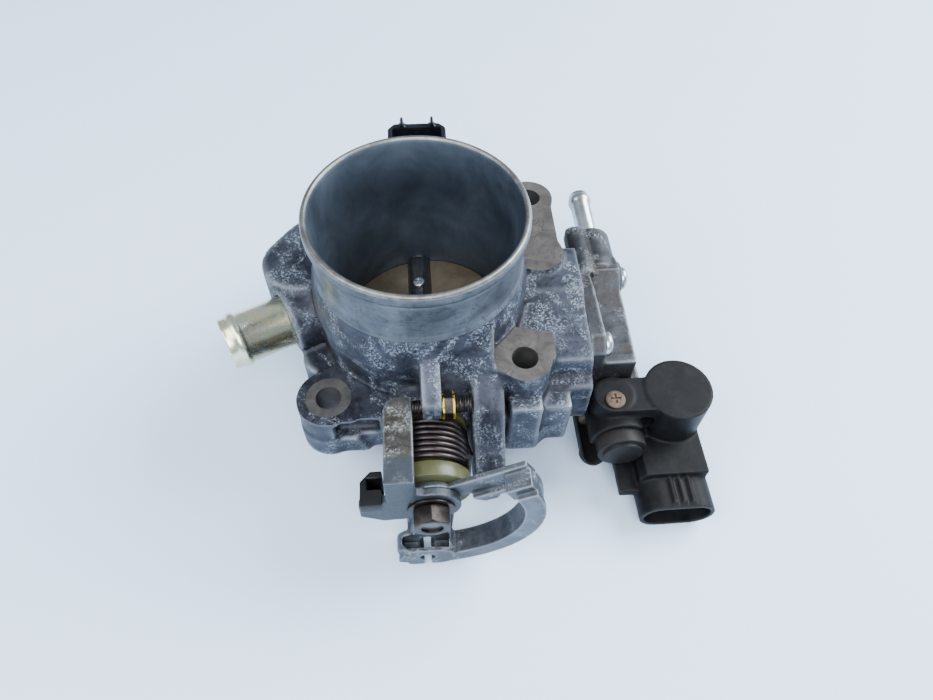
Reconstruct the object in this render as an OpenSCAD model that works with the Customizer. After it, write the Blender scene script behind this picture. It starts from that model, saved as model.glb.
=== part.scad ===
// Cable-operated throttle body, millimetres, +Z up along the bore.
// Origin: bore axis on the outlet flange face. +Y runs along the throttle shaft, away from the cable cam.

/* [Bore and inlet] */
// Radius of the throttle bore at the plate
bore_r = 30; // [29.5:0.1:30.5]
// Height of the inlet rim above the outlet flange face
rim_z = 71; // [70:0.5:74]
// Radius of the register at the outlet that locates the manifold's spigot
register_r = 31.2; // [31:0.1:31.6]
// Depth of the outlet register
register_l = 3; // [2:0.5:3]
// Outer radius of the bead that holds the inlet hose
bead_r = 35; // [34.5:0.1:35.5]

/* [Shaft and plate] */
// Height of the throttle shaft above the outlet face
shaft_z = 14; // [14:0.1:14.5]
// Radius of the throttle shaft
shaft_r = 4.5; // [4.3:0.05:4.5]
// Tilt of the closed throttle plate from level
plate_tilt = 7; // [6:0.5:8]
// Thickness of the throttle plate
plate_t = 2; // [1.6:0.1:2]

/* [Outlet flange] */
// Radius of each flange bolt hole
bolt_r = 4.25; // [4:0.05:4.5]
// Height of the front left bolt boss
front_left_h = 19; // [18:0.5:20]
// Height of the front right and rear right bolt bosses
right_boss_h = 37; // [36:0.5:38]

/* [Pipes] */
// Outer radius of the plated air pipe
pipe_r = 9; // [8.8:0.1:9]
// Outer radius of the coolant nipple
nipple_r = 3.9; // [3.7:0.1:4]

/* [Return spring] */
// Outer radius of the return spring's coils
spring_r = 13.2; // [12.8:0.1:13.3]
// Wire radius of the return spring
wire_r = 1; // [0.9:0.05:1]

/* [Hidden] */
$fn = 96;
fit = 0.05;

// Bolt hole centres: front left, front right, rear right, rear left
hole_fl = [-32.2, -32.7];
hole_fr = [31.9, -33];
hole_br = [42.2, 39.5];
hole_bl = [-36, 39.5];

// Shaft stack, from the housing's front boss forwards
boss_front_y = -42;
rear_collar_y = -45;
spring_front_y = -61.4;
front_collar_y = -66.4;
hub_front_y = -68.6;
lever_front_y = -71.4;
washer_front_y = -72.4;
nut_front_y = -78.2;
shaft_front_y = -77.4;
sensor_face_y = 40;

// Seats in the shaft bosses
seat_r = 7;
seat_y = 32.5;

// Air pipe: where it leaves its boss, and its heading
pipe_at = [-46, -2, 23];
pipe_heading = 205;
pipe_reach = 23;

// Stop screw that sets the closed position
stop_y = -45.6;
stop_z = 31.2;
stop_r = 2.4;
stop_tip_x = -4.3;

// Idle air valve
gasket_x = 56;
gasket_t = 0.6;
valve_x = 67.5;
valve_z = -1;
valve_face_y = -26;
valve_end_y = 10;
valve_bore_r = 7;
nipple_x = 67;
nipple_z = 19;
nipple_seat_y = 33;
core_plug_x = 60.6;
core_plug_z = 23.2;
can_x = 88.2;
can_y = -32.8;
can_top_z = 13;
can_base_z = -11;
socket_x = 86;
socket_z = -14.6;
socket_front_y = -68.5;

// Screws of the idle valve's housing, as Y, Z and the X of the seat under the head
idle_screw_places = [[14, 18, 75.2], [-20, 23.6, 62], [15.5, 4, 73.8]];

// The idle valve's two air ports, as Y and Z
idle_port_r = 3.8;
idle_port_places = [[-3, 23], [5, 8.2]];

// Screws of the actuator, as X and Z
actuator_screw_places = [[58.8, -6.5], [76, 3.6]];

// A bar along Y between two places
module y_rod(r, y0, y1) {
    translate([0, y1, 0]) rotate([90, 0, 0]) cylinder(r=r, h=y1 - y0);
}

// A bar along X between two places
module x_rod(r, x0, x1) {
    translate([x0, 0, 0]) rotate([0, 90, 0]) cylinder(r=r, h=x1 - x0);
}

// An outline drawn in X and Z, given depth along Y
module along_y(y0, y1) {
    translate([0, y1, 0]) rotate([90, 0, 0]) linear_extrude(y1 - y0) children();
}

// An outline drawn in Y and Z, given depth along X
module along_x(x0, x1) {
    translate([x0, 0, 0]) rotate([90, 0, 90]) linear_extrude(x1 - x0) children();
}

// A box from its low corner to its high corner
module span(low, high) {
    translate(low) cube(high - low);
}

// A straight slot outline between two points, rounded by r at both ends
module slot_outline(start, end, r) {
    step = end - start;
    translate(start) circle(r=r);
    translate(end) circle(r=r);
    translate(start) rotate(atan2(step[1], step[0])) translate([0, -r]) square([norm(step), 2 * r]);
}

// Twice the area inside a polygon, positive when its points run anticlockwise
function turning(points, i=0) =
    i == len(points) ? 0 : cross(points[i], points[(i + 1) % len(points)]) + turning(points, i + 1);

// Sideways step of length r, square to the line from start to end
function sideways(start, end, r) =
    [end[1] - start[1], start[0] - end[0]] * r / norm(end - start);

// A convex polygon with a round pad of radius r on each corner and webs a little narrower between them
module rounded_outline(points, r) {
    n = len(points);
    out = turning(points) > 0 ? 0.88 * r : -0.88 * r;
    polygon([for (i = [0:n - 1]) each [
        points[i] + sideways(points[(i + n - 1) % n], points[i], out),
        points[i] + sideways(points[i], points[(i + 1) % n], out)]]);
    for (corner = points)
        translate(corner) circle(r=r);
}

// A ring along Y on the shaft axis
module shaft_ring(outer, inner, y0, y1) {
    translate([0, 0, shaft_z]) difference() {
        y_rod(outer, y0, y1);
        y_rod(inner, y0 - 1, y1 + 1);
    }
}

// A pan head screw pointing along -Z from the origin, with a cross recess
module pan_screw(shank_r, shank_l, head_r, head_h) {
    difference() {
        union() {
            translate([0, 0, -shank_l]) cylinder(r=shank_r, h=shank_l + 0.1);
            cylinder(r=head_r, h=head_h * 0.55);
            translate([0, 0, head_h * 0.55 - 0.01]) cylinder(r1=head_r, r2=head_r * 0.7, h=head_h * 0.45);
        }
        for (turn = [0, 90])
            rotate(turn) translate([-head_r * 0.5, -head_r * 0.1, head_h * 0.45])
                cube([head_r, head_r * 0.2, head_h]);
    }
}

// Six-sided prism of the given distance across flats, standing on Z
module hex_prism(across, h) {
    cylinder(r=across / sqrt(3), h=h, $fn=6);
}

// The cast barrel and turned inlet tube, as one solid of revolution
module barrel_shape() {
    rotate_extrude()
        polygon([[0, 0], [35.2, 0], [34.5, 16], [34.8, 26], [36, 36], [35.6, 44], [34.4, 48.6], [33.2, 50],
            [34.1, rim_z - 6], [34.5, rim_z - 4.9], [bead_r - 0.3, rim_z - 4.6], [bead_r, rim_z - 4],
            [bead_r, rim_z - 0.9], [bead_r - 0.6, rim_z - 0.2], [bead_r - 1, rim_z], [0, rim_z]]);
}

// The air way through the barrel
module bore_shape() {
    rotate_extrude()
        polygon([[0, -1], [register_r, -1], [register_r, register_l], [bore_r, register_l], [bore_r, 40],
            [bore_r + 0.5, 43], [32.5, rim_z - 1.4], [33.3, rim_z - 0.3], [33.3, rim_z + 1], [0, rim_z + 1]]);
}

// Bosses, webs and ledges on the cylinder-head side of the flange
module flange_shape() {
    linear_extrude(8.5) rounded_outline([[-33, -34], [33, -36], [37, 29.4], [-29, 29.4]], 10);
    linear_extrude(front_left_h) rounded_outline([hole_fl, [-15, -33.5], [-16, -20.8]], 10.6);
    linear_extrude(front_left_h) {
        translate(hole_bl) circle(r=10.4);
        polygon([[-42, 32], [-28.5, 45], [-14, 31], [-28, 14]]);
    }
    linear_extrude(17) rounded_outline([[-34, -14], [-34, 12], [-24, 4]], 8);
    linear_extrude(right_boss_h) rounded_outline([hole_br, [30, 25], [42, 12]], 9);
    linear_extrude(right_boss_h) rounded_outline([hole_fr, [26, -29], [33, -30]], 8.6);
    translate([0, 0, right_boss_h - 5]) linear_extrude(5)
        polygon([[16.6, -30], [25.7, -21.6], [42, -23.4], [42, -33], [31.5, -42.2], [22, -37]]);
    span([27, -46, 0], [37.5, -33, 26]);
}

// The steps between the front right boss and the idle valve's joint face
module right_side_shape() {
    along_x(30, gasket_x)
        polygon([[21, 0], [21, 26], [18, 31], [15, 35], [-4, 35], [-9, 31.5], [-24, 30], [-29.5, 29],
            [-31, 23], [-35.5, 21], [-36, 6], [-34, 0]]);
    span([30, -42.6, 0], [48.4, -30, 19]);
}

// The bulge behind the air pipe, and the pipe's own boss
module pipe_boss_shape() {
    translate([0, 0, 8]) linear_extrude(29) slot_outline([-41, 13], [-35, 21], 13.4);
    translate(pipe_at) rotate([0, 90, pipe_heading]) translate([0, 0, -24]) cylinder(r=12, h=25);
}

// The post that carries the stop screw, and the arm that anchors the spring
module linkage_arms_shape() {
    along_x(-1.6, 4.8)
        polygon([[-28, 47], [-33.5, 44.5], [-49.2, 35.6], [-49.2, 28.2],
            [-45.6, 27.6], [-42, 27.6], [-30, 20]]);
    along_x(4.7, 22)
        polygon([[-28, 47.5], [-33, 42], [-38, 33.5], [-41.7, 27.2], [-41.7, 14], [-28, 14]]);
    along_x(14.4, 24.8)
        polygon([[-30, 36.4], [-38, 34.4], [-46, 28], [-54, 16.5], [-60, 11.5], [-61.4, 9.5], [-61.4, 3],
            [-56, -1.5], [-48, -3], [-40, 0], [-30, 0]]);
    span([13, -44, 0], [30, -30, 20]);
}

module shaft_bosses_shape() {
    translate([0, 0, shaft_z]) y_rod(13.6, boss_front_y, -20);
    translate([0, 0, shaft_z]) y_rod(12.5, 20, sensor_face_y);
    along_y(30, sensor_face_y) slot_outline([-17, shaft_z], [17, shaft_z], 6.5);
}

// Room for the stop lever to swing in front of the flange
module lever_swing() {
    translate([0, 0, shaft_z]) y_rod(24, boss_front_y - 10, boss_front_y + 0.6);
}

// Everything machined out of the casting
module housing_cuts() {
    bore_shape();
    for (at = [hole_fl, hole_fr, hole_br, hole_bl])
        translate([at[0], at[1], -1]) cylinder(r=bolt_r, h=right_boss_h + 3);
    translate([0, 0, shaft_z]) {
        y_rod(shaft_r + 0.1, -50, 50);
        y_rod(seat_r + fit / 2, boss_front_y - 8, -seat_y);
        y_rod(seat_r + fit / 2, seat_y, sensor_face_y + 8);
    }
    span([-30.5, -46, 8.5], [-16, -37.5, 17]);
    translate([0, stop_y, stop_z]) x_rod(stop_r + fit, -5, 10);
    for (side = [-1, 1])
        translate([17 * side, 0, shaft_z]) y_rod(1.9, 30, 50);
    translate(pipe_at) rotate([0, 90, pipe_heading]) {
        translate([0, 0, -12]) cylinder(r=pipe_r + fit / 2, h=20);
        translate([0, 0, -46]) cylinder(r=7, h=40);
    }
    for (place = idle_port_places)
        translate([0, place[0], place[1]]) x_rod(idle_port_r, 20, gasket_x + 1);
    for (place = idle_screw_places)
        translate([0, place[0], place[1]]) x_rod(1.9, gasket_x - 11, gasket_x + 1);
}

module throttle_housing() {
    color([0.42, 0.44, 0.47]) difference() {
        union() {
            barrel_shape();
            difference() {
                union() {
                    flange_shape();
                    right_side_shape();
                    pipe_boss_shape();
                }
                lever_swing();
            }
            shaft_bosses_shape();
            linkage_arms_shape();
        }
        housing_cuts();
    }
}

// Pressed-in steel pipe with a hose bead near its end
module air_pipe() {
    color([0.72, 0.66, 0.42]) translate(pipe_at) rotate([0, 90, pipe_heading])
        rotate_extrude()
            polygon([[7.4, -11.5], [pipe_r, -11.5], [pipe_r, pipe_reach - 6.2],
                [pipe_r + 0.9, pipe_reach - 5.2], [pipe_r + 0.9, pipe_reach - 4],
                [pipe_r, pipe_reach - 3], [pipe_r, pipe_reach - 0.6],
                [pipe_r - 0.5, pipe_reach], [7.8, pipe_reach], [7.4, pipe_reach - 0.6]]);
}

module front_bearing() {
    color("silver") shaft_ring(seat_r, shaft_r + fit, -38.6, -seat_y - 0.1);
}

module rear_bearing() {
    color("silver") shaft_ring(seat_r, shaft_r + fit, seat_y + 0.1, 36.6);
}

module front_shaft_seal() {
    color([0.1, 0.1, 0.1]) shaft_ring(seat_r, shaft_r + fit, boss_front_y + 0.1, -38.8);
}

module rear_shaft_seal() {
    color([0.1, 0.1, 0.1]) shaft_ring(seat_r, shaft_r + fit, 36.8, sensor_face_y - 0.1);
}

module idle_stop_screw() {
    color([0.55, 0.5, 0.42]) translate([0, stop_y, stop_z]) difference() {
        x_rod(stop_r, stop_tip_x, 14);
        span([12.8, -0.4, -3], [15, 0.4, 3]);
    }
}

module stop_screw_locknut() {
    color([0.5, 0.46, 0.42]) translate([4.9, stop_y, stop_z]) rotate([0, 90, 0]) difference() {
        hex_prism(8, 4);
        translate([0, 0, -1]) cylinder(r=stop_r + fit, h=6);
    }
}

// Nylon collar that centres the rear of the spring on the housing boss
module rear_spring_collar() {
    color([0.55, 0.56, 0.33]) union() {
        shaft_ring(12.9, shaft_r + 0.15, rear_collar_y, boss_front_y - 0.1);
        shaft_ring(10.8, shaft_r + 0.15, rear_collar_y - 6.5, rear_collar_y + 0.1);
    }
}

// Envelope of the coils, with the two tails that reach the anchor arm and the cam
module return_spring() {
    color([0.25, 0.22, 0.22]) union() {
        shaft_ring(spring_r, spring_r - 2 * wire_r, spring_front_y, rear_collar_y - 0.1);
        translate([0, rear_collar_y - 1.6, shaft_z - spring_r + wire_r]) x_rod(wire_r, 2, 14.2);
        translate([spring_r - wire_r, spring_front_y + 1.4, shaft_z]) cylinder(r=wire_r, h=11);
    }
}

// Outline of the idle valve's joint, in Y and Z, drawn in by the given inset
module idle_joint_outline(inset) {
    low = inset - 3.6;
    high = 29.4 - inset;
    polygon([[-25.4 + inset, low + 3], [-22 + inset, low], [17 - inset, low], [20.4 - inset, low + 4],
        [20.4 - inset, 22], [16, 25.4 - inset], [2, high - 1], [-20, high], [-25.4 + inset, high - 4]]);
}

// Cast housing of the idle air valve, bolted to the side of the throttle body
module idle_valve_housing() {
    color([0.5, 0.51, 0.52]) difference() {
        union() {
            along_x(gasket_x + gasket_t, 62) idle_joint_outline(0);
            along_x(61.5, 73.8)
                polygon([[-25, -10], [20, -10], [23, -6], [23, 12], [20, 24], [12, 26], [6, 21], [-25, 19]]);
            translate([valve_x, 0, valve_z]) y_rod(9.6, valve_face_y, 11);
            translate([nipple_x, 0, nipple_z]) y_rod(7.6, 14, nipple_seat_y);
            intersection() {
                translate([core_plug_x, 0, core_plug_z]) y_rod(4.8, 10, nipple_seat_y);
                span([gasket_x + gasket_t, 9, 10], [80, 40, 40]);
            }
            span([57, valve_face_y, -10.5], [78, -18, 6]);
            translate([0, 14, 18]) x_rod(6.4, 60, 75.2);
        }
        translate([valve_x, 0, valve_z]) y_rod(valve_bore_r, valve_face_y - 1, valve_end_y);
        translate([nipple_x, 0, nipple_z]) y_rod(nipple_r + fit / 2, nipple_seat_y - 9, nipple_seat_y + 1);
        translate([nipple_x, 0, nipple_z]) y_rod(2.8, 18, nipple_seat_y - 8);
        translate([core_plug_x, 0, core_plug_z]) y_rod(3 + fit / 2, nipple_seat_y - 5, nipple_seat_y + 1);
        translate([core_plug_x, 0, core_plug_z]) y_rod(2.4, 19, nipple_seat_y - 4);
        translate([0, 21.5, 20.8]) x_rod(2, 61, nipple_x);
        translate([0, idle_port_places[0][0], idle_port_places[0][1]]) x_rod(idle_port_r, gasket_x, 60);
        translate([60.4, idle_port_places[0][0], valve_z])
            cylinder(r=2.8, h=idle_port_places[0][1] - valve_z);
        translate([0, idle_port_places[1][0], idle_port_places[1][1]]) x_rod(idle_port_r, gasket_x, 66);
        for (place = idle_screw_places)
            translate([0, place[0], place[1]]) x_rod(2.3, gasket_x, place[2] + 1);
        for (place = idle_screw_places)
            translate([0, place[0], place[1]]) x_rod(4.7, place[2], 90);
        for (place = actuator_screw_places)
            translate([place[0], 0, place[1]]) y_rod(1.6, valve_face_y - 1, valve_face_y + 7);
    }
}

module idle_valve_gasket() {
    color([0.15, 0.15, 0.15]) difference() {
        along_x(gasket_x, gasket_x + gasket_t) idle_joint_outline(0.2);
        for (place = idle_port_places)
            translate([0, place[0], place[1]]) x_rod(idle_port_r, gasket_x - 1, gasket_x + 2);
        for (place = idle_screw_places)
            translate([0, place[0], place[1]]) x_rod(2.3, gasket_x - 1, gasket_x + 2);
    }
}

module idle_housing_screws() {
    color([0.75, 0.75, 0.74]) for (place = idle_screw_places)
        translate([place[2] + 0.05, place[0], place[1]]) rotate([0, 90, 0])
            pan_screw(1.8, place[2] - gasket_x + 9, 4.4, 2.8);
}

// Pressed-in steel nipple for the coolant hose
module coolant_nipple() {
    color([0.78, 0.78, 0.74]) translate([nipple_x, nipple_seat_y, nipple_z]) rotate([-90, 0, 0])
        rotate_extrude()
            polygon([[2.8, -8.5], [nipple_r, -8.5], [nipple_r, 20], [nipple_r + 0.7, 21.2],
                [nipple_r + 0.7, 23.4], [nipple_r - 0.2, 25.4], [2.8, 25.4]]);
}

module coolant_core_plug() {
    color([0.6, 0.6, 0.6]) translate([core_plug_x, 0, core_plug_z])
        y_rod(3, nipple_seat_y - 4.5, nipple_seat_y - 0.4);
}

// Moulded body of the idle valve's actuator
module idle_actuator_body() {
    color([0.09, 0.09, 0.1]) difference() {
        union() {
            translate([can_x, can_y, can_base_z]) cylinder(r=12, h=can_top_z - can_base_z);
            translate([65, -33.6, can_base_z]) cylinder(r=7, h=can_top_z - can_base_z);
            span([65, -40.6, 6], [can_x, -27.2, can_top_z - 0.3]);
            span([70, -40, can_base_z], [can_x, -29, 10]);
            translate([valve_x, 0, valve_z]) y_rod(10.4, -44.4, valve_face_y - 0.3);
            along_y(-31.5, valve_face_y - 0.3)
                slot_outline(actuator_screw_places[0], actuator_screw_places[1], 4.6);
            span([54.6, -46, -11], [62, valve_face_y - 0.3, -6]);
            translate([59.2, -44.4, -11]) cylinder(r=4.8, h=5);
            span([73.6, -57, -22], [98, -39, -4.5]);
            along_y(socket_front_y, -56.5)
                slot_outline([socket_x - 5.8, socket_z], [socket_x + 5.8, socket_z], 7.6);
            for (shift = [-2.2, 1, 4.2])
                span([socket_x + shift - 0.5, socket_front_y + 1.5, socket_z + 7],
                    [socket_x + shift + 0.5, -56.6, socket_z + 8.6]);
            span([66.8, -59.8, -14.5], [74.4, -46, -11]);
        }
        translate([can_x, can_y, can_base_z - 1]) cylinder(r=8.8, h=can_top_z - can_base_z - 1);
        translate([valve_x, 0, valve_z]) y_rod(valve_bore_r, -44.5, valve_face_y + 1);
        translate([valve_x, 0, valve_z]) y_rod(8.75, -62, -44.45);
        translate([65, -36.2, can_top_z - 6]) cylinder(r=1.55, h=8);
        along_y(socket_front_y - 1, -58.5)
            slot_outline([socket_x - 5.8, socket_z], [socket_x + 5.8, socket_z], 6);
        for (place = actuator_screw_places)
            translate([place[0], 0, place[1]]) y_rod(1.8, -33, valve_face_y + 1);
        for (place = actuator_screw_places)
            translate([place[0], 0, place[1]]) y_rod(3.6, -60, -31.5);
    }
}

module actuator_end_cap() {
    color([0.2, 0.2, 0.22]) translate([valve_x, 0, valve_z]) union() {
        y_rod(8.6, -49.2, -44.5);
        y_rod(6.8, -50.4, -49.1);
    }
}

module actuator_seal_ring() {
    color([0.08, 0.08, 0.08]) translate([valve_x, 0, valve_z]) difference() {
        y_rod(7.9, valve_face_y - 0.28, valve_face_y - 0.02);
        y_rod(7.15, valve_face_y - 1, valve_face_y + 1);
    }
}

module actuator_screws() {
    color([0.42, 0.28, 0.18]) {
        for (place = actuator_screw_places)
            translate([place[0], -31.55, place[1]]) rotate([90, 0, 0]) pan_screw(1.5, 11, 3.2, 2);
        translate([65, -36.2, can_top_z + 0.05]) pan_screw(1.5, 5, 3.4, 1.2);
    }
}

module actuator_coil() {
    color([0.6, 0.35, 0.2]) translate([can_x, can_y, can_base_z + 2]) difference() {
        cylinder(r=8.5, h=19.6);
        translate([0, 0, -1]) cylinder(r=4, h=30);
    }
}

module actuator_base_cover() {
    color([0.12, 0.12, 0.13]) translate([can_x, can_y, can_base_z]) cylinder(r=8.75, h=1.8);
}

module actuator_terminals() {
    color([0.8, 0.7, 0.4]) for (shift = [-4.4, 0, 4.4])
        span([socket_x + shift - 0.4, -65, socket_z - 1.2], [socket_x + shift + 0.4, -58.55, socket_z + 1.2]);
}

module idle_valve_bush() {
    color([0.7, 0.55, 0.3]) translate([valve_x, 0, valve_z]) difference() {
        y_rod(valve_bore_r - fit / 2, -24, -21);
        y_rod(2.05, -30, -10);
    }
}

// Shaft and part-drum that covers more or less of the idle air port
module idle_valve_rotor() {
    color([0.62, 0.62, 0.6]) translate([valve_x, 0, valve_z]) union() {
        y_rod(2, -42.5, -6);
        difference() {
            y_rod(6.6, -18, valve_end_y - 1);
            translate([-1, -12, -8]) cube([10, 18, 16]);
        }
    }
}

module idle_rotor_magnet() {
    color([0.3, 0.3, 0.32]) translate([valve_x, 0, valve_z]) difference() {
        y_rod(6.2, -42, -27);
        y_rod(2.02, -43, -26);
    }
}

// Throttle position sensor on the rear end of the shaft
module position_sensor_body() {
    color([0.09, 0.1, 0.12]) difference() {
        union() {
            along_y(sensor_face_y + 0.6, 45) slot_outline([-17, shaft_z], [17, shaft_z], 6.4);
            translate([0, 0, shaft_z]) y_rod(13.5, sensor_face_y + 0.6, 53);
            translate([0, 0, 20]) linear_extrude(35.8)
                polygon([[-9, 45.5], [12.2, 45.5], [12.2, 58.4], [9.8, 61], [-6.6, 61], [-9, 58.4]]);
            for (x = [-4.4, 6.6])
                span([x, 57.8, 44], [x + 1.2, 61.8, 58.2]);
        }
        translate([0, 0, shaft_z]) y_rod(8.4, sensor_face_y, 50);
        span([-7.2, 47.6, 40], [10.4, 58.6, 57]);
        for (side = [-1, 1])
            translate([17 * side, 0, shaft_z]) {
                y_rod(2.2, 39, 50);
                y_rod(4.5, 45, 54);
            }
    }
}

module position_sensor_seal() {
    color([0.07, 0.07, 0.07]) translate([0, 0, shaft_z]) difference() {
        y_rod(12, sensor_face_y + 0.05, sensor_face_y + 0.55);
        y_rod(9, sensor_face_y - 1, sensor_face_y + 2);
    }
}

module position_sensor_screws() {
    color([0.7, 0.7, 0.7]) for (side = [-1, 1])
        translate([17 * side, 45.05, shaft_z]) rotate([-90, 0, 0]) pan_screw(1.85, 12, 4.2, 2.6);
}

module position_sensor_terminals() {
    color([0.8, 0.7, 0.4]) for (x = [-2.4, 1.6, 5.6])
        span([x - 0.4, 52, 40.05], [x + 0.4, 54, 49.6]);
}

module position_sensor_rotor() {
    color([0.75, 0.74, 0.7]) shaft_ring(7.8, 3.52, 42, 48);
}

// Throttle shaft with the slot for the plate and a flat for the screw heads
module throttle_shaft() {
    color([0.3, 0.3, 0.32]) translate([0, 0, shaft_z]) rotate([0, -plate_tilt, 0]) difference() {
        union() {
            y_rod(shaft_r, lever_front_y + 0.5, 41.8);
            y_rod(3.5, 41.7, 48.5);
            y_rod(3.4, shaft_front_y, lever_front_y + 0.6);
        }
        span([-10, -bore_r - 0.4, -plate_t / 2 - 0.04], [10, bore_r + 0.4, plate_t / 2 + 0.04]);
        span([-10, -bore_r + 1, shaft_r - 0.7], [10, bore_r - 1, 10]);
        for (side = [-1, 1])
            translate([0, 16.5 * side, -6]) cylinder(r=1.6, h=12);
    }
}

module throttle_plate() {
    color([0.62, 0.54, 0.38]) translate([0, 0, shaft_z]) rotate([0, -plate_tilt, 0]) difference() {
        translate([0, 0, -plate_t / 2]) cylinder(r=bore_r - 0.15, h=plate_t);
        for (side = [-1, 1])
            translate([0, 16.5 * side, -6]) cylinder(r=1.6, h=12);
    }
}

module plate_screws() {
    color([0.75, 0.74, 0.7]) translate([0, 0, shaft_z]) rotate([0, -plate_tilt, 0])
        for (side = [-1, 1])
            translate([0, 16.5 * side, shaft_r - 0.68]) pan_screw(1.5, 8, 2.4, 1.3);
}

module front_spring_collar() {
    color([0.62, 0.62, 0.36]) {
        shaft_ring(13, shaft_r + 0.02, front_collar_y, spring_front_y - 0.1);
        shaft_ring(10.8, shaft_r + 0.02, spring_front_y - 0.2, spring_front_y + 6.8);
    }
}

// Cable cam: hub, radial bar, grooved rim and the holder for the cable's end
module throttle_cam() {
    rim_r = 35;
    bar_angle = 28;
    color([0.45, 0.46, 0.48]) difference() {
        union() {
            shaft_ring(9, shaft_r + 0.02, hub_front_y, front_collar_y - 0.1);
            translate([0, 0, shaft_z]) rotate([0, -bar_angle, 0]) {
                span([6, hub_front_y, -3.8], [rim_r - 1, front_collar_y - 0.1, 3.8]);
                span([rim_r - 9, -74.6, -3.8], [rim_r - 0.4, hub_front_y + 0.1, 2.6]);
                along_y(-70.8, front_collar_y - 0.1)
                    polygon([[12.5, -3.5], [15, -7.2], [19.5, -7.6], [20.8, -6.2], [21, -5.2], [24, -5.8],
                        [26, -5], [26.4, -3.5]]);
                rotate([-90, 0, 0]) rotate_extrude(angle=138)
                    polygon([[28.4, -76.8], [rim_r, -76.8], [rim_r, -74.6], [rim_r - 2.6, -73.6],
                        [rim_r - 2.6, -72], [rim_r, -71], [rim_r, -68.6], [28.4, -68.6]]);
            }
            along_y(hub_front_y, front_collar_y - 0.1)
                polygon([[-8, shaft_z], [8, shaft_z], [6.5, -18], [-8.5, -18]]);
            along_y(-72.6, hub_front_y + 0.1) difference() {
                polygon([[-8, -12], [-5, 3], [6, 3], [6.2, -17], [-7, -18]]);
                translate([0, shaft_z]) circle(r=10.4);
            }
            intersection() {
                along_y(-76.8, hub_front_y + 0.1) slot_outline([-6.3, -16], [2, -16], 6);
                translate([0, 0, -24]) linear_extrude(20)
                    polygon([[-15, -68], [-15, -71], [-11.6, -74.6], [-8, -77], [9, -77], [9, -68]]);
            }
        }
        translate([0, 0, shaft_z]) y_rod(shaft_r + 0.02, -80, -60);
        span([-3.2, -78, -25], [-0.8, -60, -15.5]);
        translate([-2, 0, -15.9]) y_rod(2.6, -78, -60);
        translate([0, 0, -16.6]) linear_extrude(11)
            polygon([[-10.4, -70.6], [-10.4, -73], [-8.6, -75.2], [5.4, -75.2], [5.4, -70.6]]);
    }
}

// Lever on the shaft's end whose bar rests against the stop screw
module stop_lever() {
    bar_x0 = -13.4;
    bar_x1 = -4.4;
    color([0.5, 0.5, 0.5]) difference() {
        union() {
            along_y(lever_front_y, hub_front_y - 0.1) {
                translate([0, shaft_z]) circle(r=9.4);
                polygon([[bar_x0, 32.6], [bar_x1, 32.6], [bar_x1, 24], [4, 21], [0, 12], [bar_x0, 14]]);
                polygon([[-5, 22], [-22, 17.5], [-22, 10], [-15, 5.6], [-4, 6.4]]);
            }
            translate([0, 0, 28.2]) linear_extrude(4.4)
                polygon([[bar_x0, lever_front_y], [bar_x1, lever_front_y], [bar_x1, boss_front_y - 0.2],
                    [bar_x0 + 4, boss_front_y - 0.2], [bar_x0 + 1.2, boss_front_y - 1.4],
                    [bar_x0, boss_front_y - 4.4]]);
        }
        translate([0, 0, shaft_z]) y_rod(shaft_r + 0.02, -80, -60);
    }
}

// Plastic clip on the lever's tail
module lever_bumper() {
    color([0.08, 0.08, 0.09]) difference() {
        translate([0, 0, 8]) linear_extrude(12.4)
            polygon([[-21.4, -72.3], [-14.8, -72.3], [-14.8, -61], [-18.4, -61], [-21.4, -64.2]]);
        span([-25, lever_front_y - 0.02, 7], [-14, hub_front_y - 0.08, 19.4]);
        span([-25, -73, 7], [-14, lever_front_y - 0.01, 15.5]);
        span([-19.4, -67, 10], [-14, -63.4, 22]);
    }
}

module shaft_washer() {
    color([0.55, 0.53, 0.5]) shaft_ring(7.4, 3.42, washer_front_y, lever_front_y - 0.02);
}

module shaft_nut() {
    color([0.35, 0.3, 0.27]) translate([0, nut_front_y, shaft_z]) rotate([-90, 0, 0]) difference() {
        intersection() {
            rotate(30) hex_prism(11, washer_front_y - nut_front_y - 0.02);
            union() {
                cylinder(r1=5.4, r2=6.6, h=1.2);
                translate([0, 0, 1.19]) cylinder(r=6.6, h=6);
            }
        }
        translate([0, 0, -1]) cylinder(r=3.42, h=10);
    }
}

throttle_housing();
air_pipe();
front_bearing();
rear_bearing();
front_shaft_seal();
rear_shaft_seal();
idle_stop_screw();
stop_screw_locknut();
rear_spring_collar();
return_spring();
idle_valve_housing();
idle_valve_gasket();
idle_housing_screws();
coolant_nipple();
coolant_core_plug();
idle_actuator_body();
actuator_end_cap();
actuator_seal_ring();
actuator_screws();
actuator_coil();
actuator_base_cover();
actuator_terminals();
idle_valve_bush();
idle_valve_rotor();
idle_rotor_magnet();
position_sensor_body();
position_sensor_seal();
position_sensor_screws();
position_sensor_terminals();
position_sensor_rotor();
throttle_shaft();
throttle_plate();
plate_screws();
front_spring_collar();
throttle_cam();
stop_lever();
lever_bumper();
shaft_washer();
shaft_nut();
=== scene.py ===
# %% [markdown]
# # A cable-operated throttle body
#
# The metal body guides air past a brass-coloured plate. A cable pulls the cam, which turns the
# plate against a coil spring. This notebook dresses the engineering model: each cell takes one
# real piece, says how it is made in a factory, and makes its surface the same way in Blender.

# %% Load the engineering model
import math

import bmesh
import bpy
from mathutils import Matrix, Vector


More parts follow.
